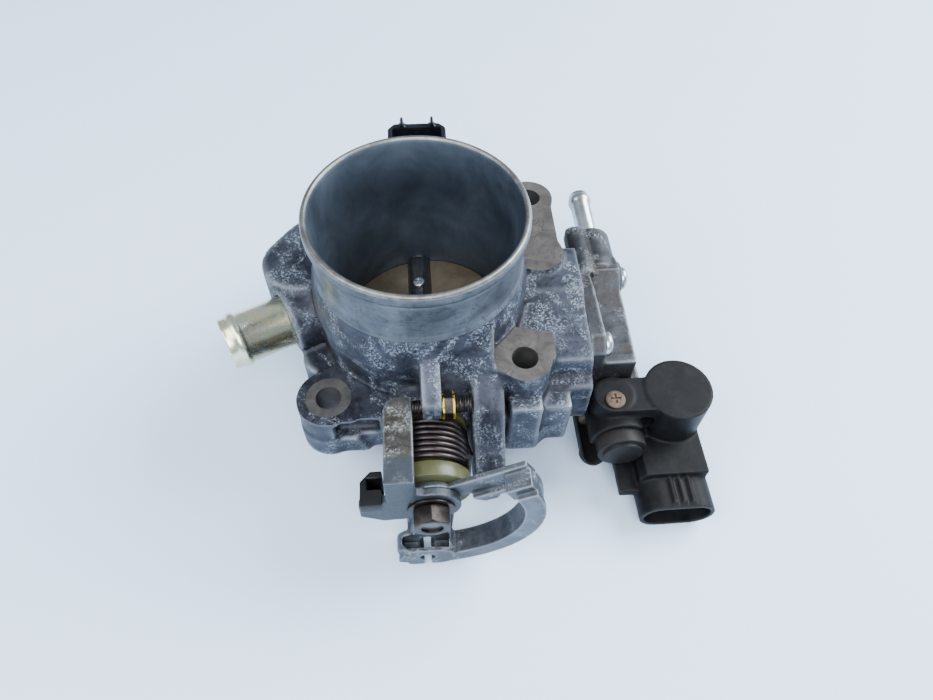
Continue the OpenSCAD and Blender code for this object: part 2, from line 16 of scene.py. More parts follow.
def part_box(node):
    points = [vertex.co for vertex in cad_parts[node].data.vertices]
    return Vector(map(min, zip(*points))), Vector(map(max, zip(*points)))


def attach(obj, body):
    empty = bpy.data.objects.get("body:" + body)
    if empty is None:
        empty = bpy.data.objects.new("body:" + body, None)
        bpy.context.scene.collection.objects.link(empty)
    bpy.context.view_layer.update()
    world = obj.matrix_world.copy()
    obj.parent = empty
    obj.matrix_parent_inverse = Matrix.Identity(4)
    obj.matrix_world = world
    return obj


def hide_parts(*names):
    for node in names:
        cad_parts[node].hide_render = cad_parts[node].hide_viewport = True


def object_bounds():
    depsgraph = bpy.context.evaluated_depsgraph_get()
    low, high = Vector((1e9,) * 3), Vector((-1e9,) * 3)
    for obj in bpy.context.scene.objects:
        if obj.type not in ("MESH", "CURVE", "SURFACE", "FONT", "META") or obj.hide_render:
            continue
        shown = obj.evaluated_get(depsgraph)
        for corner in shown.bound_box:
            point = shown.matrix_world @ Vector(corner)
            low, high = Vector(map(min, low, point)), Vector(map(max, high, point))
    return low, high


MM = 0.001
MERGE_M = 1e-6       # vertices closer than this, in metres, are one
ON_AXIS_MM = 1e-6    # a profile point closer to the lathe's axis than this is on it
ON_FACE_MM = 0.02    # a vertex closer to a plane than this lies on it
BORE_SQUEEZE = 0.95  # how much a blank's bore shrinks before it is bored
ANYWHERE = -99       # an x, in mm, that every vertex is to the right of
X, Y, Z = 0, 1, 2
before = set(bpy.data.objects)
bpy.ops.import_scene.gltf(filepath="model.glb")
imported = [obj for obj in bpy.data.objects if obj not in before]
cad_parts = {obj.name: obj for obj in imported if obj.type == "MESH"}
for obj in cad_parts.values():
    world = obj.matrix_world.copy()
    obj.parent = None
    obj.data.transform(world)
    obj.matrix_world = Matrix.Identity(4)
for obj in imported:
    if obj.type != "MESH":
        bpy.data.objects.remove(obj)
cad_box = [list(corner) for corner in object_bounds()]


# %% [markdown]
# ## Places that the pieces share
#
# Some places come from the engineering model's own boxes, so a piece can't drift from the part it
# dresses; the bore, the tube's base, the boss tops and the bolt holes are given in mm. The throttle
# shaft runs along Y, and the bore along Z.

# %% Read the shared places
def box_mm(node):
    """Lowest and highest corner of a node, in millimetres."""
    low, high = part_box(node)
    return low / MM, high / MM


rim_z = box_mm("throttle_housing")[1].z
nut_low, nut_high = box_mm("shaft_nut")
lock_low, lock_high = box_mm("stop_screw_locknut")
shaft_z = (nut_low.z + nut_high.z) / 2
bore_r = 30.0
tube_base_z = 50.0
boss_top_z = 37.0
front_boss_z = 19.0
front_left_bolt = (-32.2, -32.7)
front_right_bolt = (31.9, -33.0)
rear_right_bolt = (42.2, 39.5)
rear_left_bolt = (-36.0, 39.5)
bolt_r = 4.25
print("rim at", round(rim_z, 1), "mm, shaft at", round(shaft_z, 1), "mm")


# %% [markdown]
# ## Workshop helpers
#
# Three ways of making a shape cover most of the part: turning a profile on a lathe, casting a
# blank that is then machined, and copying a small part and easing its edges. Node trees grow the
# screws, the spring and the terminals further down.

# %% Put a mesh in the scene and bake its modifiers
def add_piece(name, mesh):
    """Links a new object with this mesh to the scene."""
    piece = bpy.data.objects.new(name, mesh)
    bpy.context.scene.collection.objects.link(piece)
    return piece


def settle(piece):
    """Turns what the modifiers show into the piece's own mesh."""
    graph = bpy.context.evaluated_depsgraph_get()
    mesh = bpy.data.meshes.new_from_object(piece.evaluated_get(graph))
    piece.modifiers.clear()
    piece.data = mesh
    return piece


def merged_copy(node, name):
    """A closed, editable copy of an engineering node."""
    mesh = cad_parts[node].data.copy()
    for extra in ("custom_normal", "UVMap"):
        if extra in mesh.attributes:
            mesh.attributes.remove(mesh.attributes[extra])
    mesh.materials.clear()
    shell = bmesh.new()
    shell.from_mesh(mesh)
    bmesh.ops.remove_doubles(shell, verts=shell.verts, dist=MERGE_M)
    shell.to_mesh(mesh)
    shell.free()
    return add_piece(name, mesh)


# %% Turn a profile on a lathe
def turned(name, profile, steps, slot=0):
    """A closed body turned about Z from a loop of (radius, height) points in mm."""
    shell = bmesh.new()
    rings = []
    for radius, height in profile:
        if radius < ON_AXIS_MM:
            rings.append([shell.verts.new((0, 0, height * MM))] * steps)
            continue
        rings.append([shell.verts.new((radius * MM * math.cos(2 * math.pi * i / steps),
                                       radius * MM * math.sin(2 * math.pi * i / steps),
                                       height * MM)) for i in range(steps)])
    for inner, outer in zip(rings, rings[1:] + rings[:1]):
        for i in range(steps):
            corners = [inner[i], inner[(i + 1) % steps], outer[(i + 1) % steps], outer[i]]
            corners = list(dict.fromkeys(corners))
            if len(corners) > 2:
                shell.faces.new(corners).material_index = slot
    bmesh.ops.recalc_face_normals(shell, faces=shell.faces)
    mesh = bpy.data.meshes.new(name)
    shell.to_mesh(mesh)
    shell.free()
    return add_piece(name, mesh)


def laid(piece, at, heading=(0, 0, 1)):
    """Lays a piece made about Z onto a line through at, in mm, and keeps that in its mesh."""
    turn = Vector((0, 0, 1)).rotation_difference(Vector(heading)).to_matrix().to_4x4()
    piece.data.transform(Matrix.Translation(Vector(at) * MM) @ turn)
    return piece


def block(name, low, high, slot=0):
    """A plain box from low to high, in mm, used as a cutter."""
    shell = bmesh.new()
    bmesh.ops.create_cube(shell, size=1)
    middle = (Vector(low) + Vector(high)) / 2 * MM
    size = (Vector(high) - Vector(low)) * MM
    bmesh.ops.transform(shell, matrix=Matrix.Translation(middle) @ Matrix.Diagonal((*size, 1)),
                        verts=shell.verts)
    for face in shell.faces:
        face.material_index = slot
    mesh = bpy.data.meshes.new(name)
    shell.to_mesh(mesh)
    shell.free()
    return add_piece(name, mesh)


# %% Cast a blank, machine it, ease its edges
def cast_blank(node, name, grain, softening, grow=(), bore=None):
    """A remeshed copy with the soft corners of a casting.

    grow lists (axis, place, distance, from_x): flat faces that get spare metal before they are
    machined. Only corners to the right of from_x move. Corners closer to the Z axis than bore are
    pulled inwards, which leaves spare metal for boring.
    """
    piece = merged_copy(node, name)
    for vertex in piece.data.vertices:
        if bore and math.hypot(*vertex.co.xy) < bore * MM:
            vertex.co.xy *= BORE_SQUEEZE
    for axis, place, distance, from_x in grow:
        for vertex in piece.data.vertices:
            on_face = abs(vertex.co[axis] - place * MM) < ON_FACE_MM * MM
            if on_face and vertex.co.x > from_x * MM:
                vertex.co[axis] += distance * MM
    remesh = piece.modifiers.new("remesh", "REMESH")
    remesh.mode = "VOXEL"
    remesh.voxel_size = grain * MM
    smooth = piece.modifiers.new("soften", "SMOOTH")
    smooth.factor = 0.5
    smooth.iterations = softening
    return settle(piece)


def machined(piece, *cutters):
    """Cuts each cutter out of the piece. Cut faces keep the cutter's material number."""
    for cutter in cutters:
        cut = piece.modifiers.new("cut", "BOOLEAN")
        cut.operation = "DIFFERENCE"
        cut.solver = "MANIFOLD"
        cut.object = cutter
        settle(piece)
        bpy.data.objects.remove(cutter)
    return piece


def eased(piece, width):
    """Breaks the sharp edges with a small round bevel."""
    bevel = piece.modifiers.new("ease", "BEVEL")
    bevel.width = width * MM
    bevel.segments = 2
    bevel.limit_method = "ANGLE"
    bevel.angle_limit = math.radians(30)
    bevel.use_clamp_overlap = True
    return settle(piece)


def dressed(piece, body, slot, *finishes, replaces=(), crease=34):
    """Gives a piece its finishes, face by face by material number, and its moving body."""
    slots = [face.material_index for face in piece.data.polygons]
    piece.data.materials.clear()
    for finish in finishes:
        piece.data.materials.append(finish)
    for face, number in zip(piece.data.polygons, slots):
        face.material_index = min(number, len(finishes) - 1)
        face.use_smooth = True
    if len(finishes) > 1:
        print("faces per finish:", [slots.count(i) for i in range(len(finishes))])
    piece.data.set_sharp_from_angle(angle=math.radians(crease))
    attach(piece, body)
    if replaces:
        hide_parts(*replaces)
    triangles = sum(len(face.vertices) - 2 for face in piece.data.polygons)
    print(f"{piece.name}: {triangles} triangles on {body}")
    return piece


# %% [markdown]
# ## Finishes
#
# No surface here is one flat colour. Die-cast aluminium goes blotchy and grows white oxide, zinc
# plating shifts between gold and green, and moulded plastic has a fine grain. Each finish is a
# small network of noises on the piece's own coordinates, so it stays put when the piece moves.

# %% A small builder for shader networks
class Finish:
    """One material; its methods add nodes and return the result's socket."""

    def __init__(self, name, metallic=0.0, roughness=0.5):
        self.material = bpy.data.materials.new(name)
        self.material.use_nodes = True
        self.tree = self.material.node_tree
        self.shader = self.tree.nodes["Principled BSDF"]
        self.shader.inputs["Metallic"].default_value = metallic
        self.shader.inputs["Roughness"].default_value = roughness
        self.place = self.add("ShaderNodeTexCoord").outputs["Object"]
        self.geometry = self.add("ShaderNodeNewGeometry")

    def add(self, kind, **settings):
        node = self.tree.nodes.new(kind)
        for key, value in settings.items():
            setattr(node, key, value)
        return node

    def feed(self, socket, value):
        """Links another socket to this one, or sets a plain value."""
        if isinstance(value, bpy.types.NodeSocket):
            self.tree.links.new(value, socket)
        elif value is not None:
            if socket.type == "RGBA" and len(value) == 3:
                value = (*value, 1)
            socket.default_value = value

    def noise(self, size, detail=4.0, rough=0.55, twist=0.0, stretch=(1, 1, 1)):
        """Noise whose blotches are about size mm across, times stretch along each axis."""
        turn = self.add("ShaderNodeMapping")
        self.feed(turn.inputs["Vector"], self.place)
        turn.inputs["Scale"].default_value = [1 / s for s in stretch]
        node = self.add("ShaderNodeTexNoise")
        self.feed(node.inputs["Vector"], turn.outputs["Vector"])
        node.inputs["Scale"].default_value = 1 / (size * MM)
        node.inputs["Detail"].default_value = detail
        node.inputs["Roughness"].default_value = rough
        node.inputs["Distortion"].default_value = twist
        return node.outputs["Fac"]

    def ramp(self, value, *stops):
        """stops are (place, grey or colour)."""
        node = self.add("ShaderNodeValToRGB")
        self.feed(node.inputs["Fac"], value)
        while len(node.color_ramp.elements) < len(stops):
            node.color_ramp.elements.new(0.5)
        for element, (at, colour) in zip(node.color_ramp.elements, stops):
            element.position = at
            element.color = (*colour, 1) if hasattr(colour, "__len__") else (colour,) * 3 + (1,)
        return node.outputs["Color"]

    def mix(self, share, first, second):
        """first where share is 0, second where it is 1."""
        node = self.add("ShaderNodeMix", data_type="RGBA", blend_type="MIX")
        for index, value in ((0, share), (6, first), (7, second)):
            self.feed(node.inputs[index], value)
        return node.outputs[2]

    def calc(self, operation, first, second=None):
        """A sum on two values, kept between 0 and 1."""
        node = self.add("ShaderNodeMath", operation=operation, use_clamp=True)
        self.feed(node.inputs[0], first)
        self.feed(node.inputs[1], second)
        return node.outputs[0]

    def edges(self, low=0.505, high=0.56):
        """White on worn outer corners."""
        return self.ramp(self.geometry.outputs["Pointiness"], (low, 0.0), (high, 1.0))

    def painted_crevice_shade(self):
        """White in the inner corners, where shade falls: the mask for painted shade."""
        return self.ramp(self.geometry.outputs["Pointiness"], (0.44, 1.0), (0.495, 0.0))

    def relief(self, height, depth, strength):
        """Fine bumps, depth mm high."""
        node = self.add("ShaderNodeBump")
        node.inputs["Strength"].default_value = strength
        node.inputs["Distance"].default_value = depth * MM
        self.feed(node.inputs["Height"], height)
        self.feed(self.shader.inputs["Normal"], node.outputs["Normal"])

    def wear(self, colour, roughness=None, metallic=None):
        """Puts the results on the shader."""
        self.feed(self.shader.inputs["Base Color"], colour)
        if roughness is not None:
            self.feed(self.shader.inputs["Roughness"], roughness)
        if metallic is not None:
            self.feed(self.shader.inputs["Metallic"], metallic)
        return self.material


# %% [markdown]
# ### Cast aluminium
#
# A die casting leaves the tool bright and then weathers: slow dark clouds, salt-like oxide specks
# in patches, oily brown blotches, painted shade in the inner corners, and outer corners rubbed
# bright by hands and tools.

# %% Mix the cast finishes
def cast_alloy(name, dark, light, oxide, oxide_share, stain, stain_share, roughness=0.5,
               corners=True, front_tint=None):
    """Weathered cast aluminium, mixed from a dark and a light grey.

    oxide_share and stain_share say how much of the surface the white oxide and the oil take. stain
    is the oil's colour, and it also paints shade into the inner corners. corners=False leaves out
    the worn edges and that painted shade, for large flat faces.
    (place, colour) for the front: metal in front of that place along Y, in mm, takes that colour.
    """
    finish = Finish(name, metallic=0.6, roughness=roughness)
    clouds = finish.noise(14, detail=6, rough=0.66, twist=0.9)
    mottle = finish.noise(2.6, detail=6, rough=0.75)
    base = finish.mix(finish.ramp(clouds, (0.38, 0.0), (0.62, 1.0)), dark, light)
    base = finish.mix(finish.ramp(mottle, (0.44, 0.0), (0.7, 0.6)), base, light)
    pits = finish.ramp(finish.noise(1.3, detail=4, rough=0.7), (0.3, 0.8), (0.42, 0.0))
    base = finish.mix(pits, base, dark)
    specks = finish.ramp(finish.noise(0.75, detail=4, rough=0.8), (0.5, 0.0), (0.6, 1.0))
    patches = finish.ramp(finish.noise(12, detail=4, rough=0.6, twist=1.5),
                          (0.64 - oxide_share, 0.0), (0.78 - oxide_share, 1.0))
    streaks = finish.ramp(finish.noise(4, detail=6, rough=0.8, twist=2.2), (0.55, 0.0), (0.68, 0.5))
    chalk = finish.calc("MULTIPLY", patches, finish.calc("MAXIMUM", specks, streaks))
    base = finish.mix(chalk, base, oxide)
    oil = finish.ramp(finish.noise(18, detail=5, twist=0.8), (0.66 - stain_share, 0.0),
                      (0.86 - stain_share, 0.85))
    base = finish.mix(oil, base, stain)
    rough = finish.calc("ADD", finish.calc("MULTIPLY", mottle, 0.3), roughness - 0.12)
    rough = finish.calc("ADD", rough, finish.calc("MULTIPLY", chalk, 0.3))
    if corners:
        # Painted shade: the inner corners take the stain colour.
        base = finish.mix(finish.calc("MULTIPLY", finish.painted_crevice_shade(), 0.8), base, stain)
        worn = finish.calc("MULTIPLY", finish.edges(), 0.75)
        base = finish.mix(worn, base, (0.22, 0.24, 0.27))
        rough = finish.calc("SUBTRACT", rough, finish.calc("MULTIPLY", worn, 0.2))
    # Metal in front of the given place along Y takes the given bluish grey.
    if front_tint:
        place, front_colour = front_tint
        waver_mm, fade_mm = 1.2, 1 / 3
        depth = finish.add("ShaderNodeSeparateXYZ")
        finish.feed(depth.inputs["Vector"], finish.place)
        wobble = finish.calc("MULTIPLY_ADD", finish.noise(3, detail=4), waver_mm * MM)
        wobble.node.inputs[2].default_value = -(place + waver_mm * 2 / 3) * MM
        wobble.node.use_clamp = False
        front = finish.add("ShaderNodeMath", operation="ADD")
        finish.feed(front.inputs[0], depth.outputs["Y"])
        finish.feed(front.inputs[1], wobble)
        ahead = finish.calc("MULTIPLY", front.outputs[0], -1 / (fade_mm * MM))
        base = finish.mix(finish.ramp(ahead, (0.0, 0.0), (1.0, 0.8)), base, front_colour)
    metal = finish.calc("SUBTRACT", 0.7, finish.calc("MULTIPLY", chalk, 0.6))
    grit = finish.calc("ADD", finish.noise(0.45, detail=3), finish.calc("MULTIPLY", chalk, 0.5))
    finish.relief(grit, 0.16, 0.6)
    return finish.wear(base, rough, metal)


# stain is the oil's colour, and also the colour of the painted shade in the inner corners.
housing_mix = {"dark": (0.013, 0.0135, 0.021), "light": (0.055, 0.06, 0.08),
               "oxide": (0.27, 0.31, 0.37), "oxide_share": 0.17,
               "stain": (0.02, 0.0155, 0.015), "stain_share": 0.1}
housing_cast = cast_alloy("housing_cast", **housing_mix)
housing_flat = cast_alloy("housing_flat", **housing_mix, corners=False)
valve_cast = cast_alloy("valve_cast", dark=(0.018, 0.018, 0.02), light=(0.06, 0.061, 0.066),
                        oxide=(0.24, 0.25, 0.27), oxide_share=0.12,
                        stain=(0.03, 0.02, 0.014), stain_share=0.14)
cam_cast = cast_alloy("cam_cast", dark=(0.035, 0.038, 0.045), light=(0.085, 0.094, 0.112),
                      oxide=(0.27, 0.3, 0.33), oxide_share=0.12,
                      stain=(0.022, 0.02, 0.02), stain_share=0.1, roughness=0.45)
lever_cast = cast_alloy("lever_cast", dark=(0.03, 0.028, 0.025), light=(0.082, 0.077, 0.07),
                        oxide=(0.26, 0.26, 0.25), oxide_share=0.17,
                        stain=(0.05, 0.038, 0.025), stain_share=0.2,
                        front_tint=(-62.8, (0.045, 0.054, 0.068)))
print("cast finishes:", housing_cast.name, valve_cast.name, cam_cast.name, lever_cast.name)


# %% [markdown]
# ### Machined and plated metal
#
# A cutting tool leaves fine lines, so these finishes get thin streaks of roughness. The bore has
# a soft dark film from years of air and oil mist. The boss tops have browned.

# %% Mix the metal finishes
def tool_marked(name, dark, light, roughness, metallic=0.9, blotch=9, marks=0.25,
                stretch=(1, 1, 0.08), stain=None, worn=(0.7, 0.71, 0.72), paint=None):
    """Machined or plated metal, with streaks from the tool and rubbed corners.

    worn=None leaves out the rubbed corners, for large flat faces.
    paint=(from, to), in mm along X: dabs of yellow sealing paint near both of those places.
    """
    finish = Finish(name, metallic=metallic, roughness=roughness)
    clouds = finish.noise(blotch, detail=5, rough=0.6, twist=0.5)
    lines = finish.noise(1.4, detail=2, stretch=stretch)
    base = finish.mix(finish.ramp(clouds, (0.35, 0.0), (0.68, 1.0)), dark, light)
    base = finish.mix(finish.calc("MULTIPLY", lines, 0.35), base, dark)
    if stain:
        spots = finish.ramp(finish.noise(blotch * 0.5, detail=6, rough=0.75, twist=1.2),
                            (0.52, 0.0), (0.66, 0.85))
        base = finish.mix(spots, base, stain)
    if worn:
        base = finish.mix(finish.calc("MULTIPLY", finish.edges(), 0.85), base, worn)
    if paint:
        across = finish.add("ShaderNodeSeparateXYZ")
        finish.feed(across.inputs["Vector"], finish.place)
        share = finish.add("ShaderNodeMapRange")
        finish.feed(share.inputs["Value"], across.outputs["X"])
        share.inputs["From Min"].default_value = paint[0] * MM
        share.inputs["From Max"].default_value = paint[1] * MM
        strokes = finish.ramp(share.outputs["Result"], (0.0, 1.0), (0.14, 1.0), (0.18, 0.0),
                              (0.82, 0.0), (0.86, 1.0), (1.0, 1.0))
        dabs = finish.ramp(finish.noise(1.8, detail=3), (0.44, 0.0), (0.5, 1.0))
        base = finish.mix(finish.calc("MULTIPLY", strokes, dabs), base, (0.62, 0.42, 0.02))
    rough = finish.calc("ADD", roughness - marks / 2, finish.calc("MULTIPLY", lines, marks))
    rough = finish.calc("ADD", rough, finish.calc("MULTIPLY", clouds, 0.08))
    finish.relief(lines, 0.03, 0.35)
    return finish.wear(base, rough)


bore_metal = tool_marked("bore_metal", (0.04, 0.052, 0.072), (0.105, 0.13, 0.17), 0.42,
                         metallic=0.75, blotch=22, marks=0.12, stretch=(1, 1, 14), worn=None)
tube_metal = tool_marked("tube_metal", (0.055, 0.062, 0.074), (0.16, 0.172, 0.19), 0.4, blotch=10,
                         metallic=0.8, stretch=(9, 9, 0.5), stain=(0.05, 0.05, 0.055), worn=None)
lip_metal = tool_marked("lip_metal", (0.14, 0.135, 0.13), (0.28, 0.275, 0.27), 0.4, blotch=6,
                        stretch=(9, 9, 0.5), stain=(0.12, 0.105, 0.09), worn=None)
face_metal = tool_marked("face_metal", (0.055, 0.047, 0.044), (0.13, 0.115, 0.107), 0.55,
                         blotch=7, metallic=0.5, stain=(0.04, 0.031, 0.028), worn=None)
seat_metal = tool_marked("seat_metal", (0.06, 0.056, 0.054), (0.13, 0.122, 0.118), 0.5, blotch=6,
                         metallic=0.6, worn=None)
bright_steel = tool_marked("bright_steel", (0.3, 0.31, 0.31), (0.5, 0.51, 0.51), 0.26,
                           metallic=1.0, blotch=5, marks=0.12, stain=(0.22, 0.19, 0.15))
dark_steel = tool_marked("dark_steel", (0.02, 0.019, 0.021), (0.055, 0.053, 0.056), 0.34,
                         blotch=5, stain=(0.045, 0.032, 0.024), worn=(0.2, 0.195, 0.195))
spring_steel = tool_marked("spring_steel", (0.028, 0.021, 0.022), (0.075, 0.062, 0.064), 0.34,
                           blotch=4, stain=(0.05, 0.028, 0.018), worn=None)
brown_steel = tool_marked("brown_steel", (0.02, 0.016, 0.015), (0.055, 0.047, 0.043), 0.38,
                          blotch=4, stain=(0.03, 0.02, 0.016), worn=None)
painted_steel = tool_marked("painted_steel", (0.02, 0.016, 0.015), (0.055, 0.047, 0.043), 0.38,
                            blotch=4, worn=None, paint=(lock_low.x, lock_high.x))
thread_steel = tool_marked("thread_steel", (0.02, 0.017, 0.017), (0.06, 0.052, 0.05), 0.42,
                           blotch=3, stain=(0.035, 0.022, 0.015), worn=None)
rusty_steel = tool_marked("rusty_steel", (0.05, 0.03, 0.02), (0.13, 0.08, 0.05), 0.62,
                          metallic=0.45, blotch=2.5, stain=(0.17, 0.08, 0.035),
                          worn=(0.16, 0.13, 0.1))
plate_brass = tool_marked("plate_brass", (0.17, 0.13, 0.08), (0.3, 0.24, 0.16), 0.42, blotch=12,
                          metallic=0.7, stain=(0.22, 0.17, 0.11), stretch=(8, 0.6, 8), worn=None)
bronze = tool_marked("bronze", (0.42, 0.29, 0.14), (0.62, 0.45, 0.25), 0.42, blotch=3)
contact_metal = tool_marked("contact_metal", (0.55, 0.46, 0.28), (0.8, 0.7, 0.48), 0.25, blotch=3)
copper_wire = tool_marked("copper_wire", (0.4, 0.17, 0.08), (0.62, 0.3, 0.15), 0.3, blotch=2,
                          stretch=(6, 6, 0.5))


# %% Mix the yellow zinc of the air pipe
def yellow_zinc():
    """Passivated zinc: gold with drifting green and pink, and silver where it has worn."""
    finish = Finish("yellow_zinc", metallic=1.0, roughness=0.24)
    drift = finish.noise(9, detail=3, twist=1.2)
    base = finish.ramp(drift, (0.3, (0.74, 0.68, 0.46)), (0.44, (0.86, 0.77, 0.46)),
                       (0.55, (0.68, 0.70, 0.50)), (0.68, (0.82, 0.70, 0.50)))
    silver = finish.ramp(finish.noise(5, detail=5, rough=0.7, twist=1.0), (0.52, 0.0), (0.72, 0.7))
    base = finish.mix(silver, base, (0.70, 0.70, 0.64))
    spots = finish.ramp(finish.noise(1.6, detail=4, rough=0.7), (0.66, 0.0), (0.76, 0.7))
    base = finish.mix(spots, base, (0.34, 0.24, 0.12))
    rough = finish.calc("ADD", 0.27, finish.calc("MULTIPLY", silver, 0.15))
    rough = finish.calc("ADD", rough, finish.calc("MULTIPLY", spots, 0.3))
    finish.relief(finish.noise(2.4, detail=4), 0.05, 0.3)
    return finish.wear(base, rough)


zinc_plate = yellow_zinc()
print("plated finish:", zinc_plate.name)


# %% [markdown]
# ### Plastics and rubber
#
# Moulded parts are almost black, with a fine spark-eroded grain. Handling dulls the grain in
# clouds and the outer corners turn a little grey. The nylon collars are olive and waxy.

# %% Mix the plastic finishes
def moulded(name, dark, light, dust, roughness, grain=0.35, dusty=0.0, sheen=0.35):
    """Plastic or rubber with a fine moulded grain; dusty is how much of it the dust takes."""
    finish = Finish(name, roughness=roughness)
    clouds = finish.noise(11, detail=5, rough=0.6, twist=0.8)
    base = finish.mix(finish.ramp(clouds, (0.35, 0.0), (0.7, 1.0)), dark, light)
    base = finish.mix(finish.calc("MULTIPLY", finish.edges(0.51, 0.6), 0.6), base, dust)
    film = finish.ramp(finish.noise(5, detail=6, rough=0.75, twist=1.5), (0.5, 0.0), (0.75, dusty))
    base = finish.mix(film, base, dust)
    rough = finish.calc("ADD", roughness - 0.08, finish.calc("MULTIPLY", clouds, 0.2))
    finish.shader.inputs["Specular IOR Level"].default_value = sheen
    finish.relief(finish.noise(grain, detail=2), 0.03, 0.35)
    return finish.wear(base, rough)


actuator_plastic = moulded("actuator_plastic", (0.0035, 0.0035, 0.004), (0.009, 0.009, 0.01),
                           (0.03, 0.029, 0.029), 0.5, dusty=0.25, sheen=0.12)
cap_plastic = moulded("cap_plastic", (0.005, 0.005, 0.0055), (0.013, 0.0125, 0.013),
                      (0.04, 0.036, 0.033), 0.48, dusty=0.4, sheen=0.15)
connector_plastic = moulded("connector_plastic", (0.003, 0.0035, 0.005), (0.007, 0.008, 0.011),
                            (0.02, 0.022, 0.028), 0.32, sheen=0.2)
clip_plastic = moulded("clip_plastic", (0.003, 0.003, 0.0035), (0.008, 0.008, 0.009),
                       (0.03, 0.03, 0.033), 0.36, dusty=0.15, sheen=0.2)
olive_nylon = moulded("olive_nylon", (0.03, 0.031, 0.009), (0.07, 0.072, 0.025),
                      (0.13, 0.13, 0.065), 0.3, grain=0.8, dusty=0.35)
white_nylon = moulded("white_nylon", (0.5, 0.49, 0.44), (0.66, 0.65, 0.6), (0.7, 0.7, 0.66), 0.4)
seal_rubber = moulded("seal_rubber", (0.012, 0.012, 0.012), (0.03, 0.03, 0.03),
                      (0.08, 0.08, 0.08), 0.7, grain=0.5)
print("plastic finishes:", actuator_plastic.name, connector_plastic.name, olive_nylon.name)


# %% [markdown]
# ## The cast housing
#
# The real housing is cast a little oversize, and then a mill and a lathe cut the flange, the boss
# tops and the bore. The mesh follows the same order: the blank is remeshed and softened so that
# every inner corner has a fillet, and the machined faces are cut afterwards, so they stay crisp.

# %% Cast and machine the housing
def round_cutter(radius, low, high, at=(0, 0), slot=1):
    """An upright cylinder from low to high, in mm, used as a cutter."""
    cutter = turned("cutter", [(0, low), (radius, low), (radius, high), (0, high)], 96, slot)
    return laid(cutter, (*at, 0))


# Material numbers of the housing's cut faces; 0 is the metal as cast.
BORE, FACE, SEAT, FLAT = 1, 2, 3, 4
spare = 1.4
joint_x = 56.0
sensor_y = 40.0
barrel_r = 36.6
pipe_boss_r = 15.4
register_r = 31.2
blank = cast_blank("throttle_housing", "cast_housing", 0.95, 4,
                   grow=[(Z, 0, -spare, ANYWHERE), (Z, boss_top_z, spare, 22.3),
                         (Z, front_boss_z, spare, ANYWHERE), (X, joint_x, spare, ANYWHERE),
                         (Y, sensor_y, spare, ANYWHERE)], bore=31.6)
boss_cutter = machined(
    block("boss_cutter", (22.4, -48, boss_top_z), (60, 60, boss_top_z + 3), FACE),
    round_cutter(barrel_r, 30, 45, slot=FACE))
front_left_cutter = machined(
    block("flat_cutter", (-48, -50, front_boss_z), (-12, -16, 22), FLAT),
    round_cutter(barrel_r - 1.2, 15, 30, slot=FLAT))
rear_left_cutter = machined(
    block("flat_cutter", (-50, 28, front_boss_z), (-20, 52, 22), FLAT),
    round_cutter(barrel_r, 15, 30, slot=FLAT),
    round_cutter(pipe_boss_r, 15, 30, (-41, 13), FLAT),
    round_cutter(pipe_boss_r, 15, 30, (-35, 21), FLAT))
bore_cutter = turned("bore_cutter", [(0, -3), (register_r, -3), (register_r, 3), (bore_r, 3),
                                     (bore_r, 40), (30.5, 43), (31.1, 52), (0, 52)], 180, BORE)
cast_housing = machined(
    blank,
    block("flange_cutter", (-80, -80, -4), (80, 80, 0), SEAT),
    block("joint_cutter", (joint_x, -60, -5), (joint_x + 4, 60, 60), SEAT),
    block("sensor_cutter", (-40, sensor_y, -2), (40, sensor_y + 4, 34), SEAT),
    boss_cutter, front_left_cutter, rear_left_cutter,
    block("tube_cutter", (-40, -40, tube_base_z), (40, 40, rim_z + 2), FLAT),
    bore_cutter,
    round_cutter(7.6, front_boss_z - 0.12, 30, front_left_bolt, SEAT),
    *[round_cutter(bolt_r, -2, 60, at, SEAT) for at in
      (front_left_bolt, front_right_bolt, rear_right_bolt, rear_left_bolt)])
dressed(cast_housing, "housing", "cast_aluminium", housing_cast, bore_metal, face_metal,
        seat_metal, housing_flat, replaces=["throttle_housing"])

# %% Turn the inlet tube
lip = [(30.94, tube_base_z - 0.6), (31.1, 52), (32.45, rim_z - 1.5), (33.1, rim_z - 0.75),
       (33.4, rim_z - 0.15), (33.75, rim_z), (34.35, rim_z - 0.08), (34.8, rim_z - 0.5),
       (35.0, rim_z - 1.1), (35.0, rim_z - 3.6), (34.85, rim_z - 4.3), (34.4, rim_z - 4.75),
       (33.95, rim_z - 4.95), (33.8, rim_z - 5.3), (33.95, rim_z - 5.65), (33.9, rim_z - 7),
       (33.3, tube_base_z + 1.4), (33.6, tube_base_z + 0.5), (34.2, tube_base_z - 0.2),
       (34.2, tube_base_z - 0.6)]
inlet_tube = turned("inlet_tube", lip, 200)
for face in inlet_tube.data.polygons:
    inwards = face.normal.x * face.center.x + face.normal.y * face.center.y < 0
    on_lip = face.center.z > (rim_z - 0.9) * MM
    face.material_index = 2 if on_lip else 1 if inwards else 0
dressed(inlet_tube, "housing", "cast_aluminium", tube_metal, bore_metal, lip_metal, crease=50)


# %% [markdown]
# ## The idle valve's casting and the plastic mouldings
#
# These come from smaller dies with tighter corners, so the blank's grain is finer. None of their
# machined faces shows, so they are left as cast. The cam and its lever are castings too.

# %% Cast the idle valve's housing
valve_cast_piece = cast_blank("idle_valve_housing", "idle_valve_casting", 0.55, 4)
dressed(valve_cast_piece, "housing", "cast_idle_housing", valve_cast,
        replaces=["idle_valve_housing"])

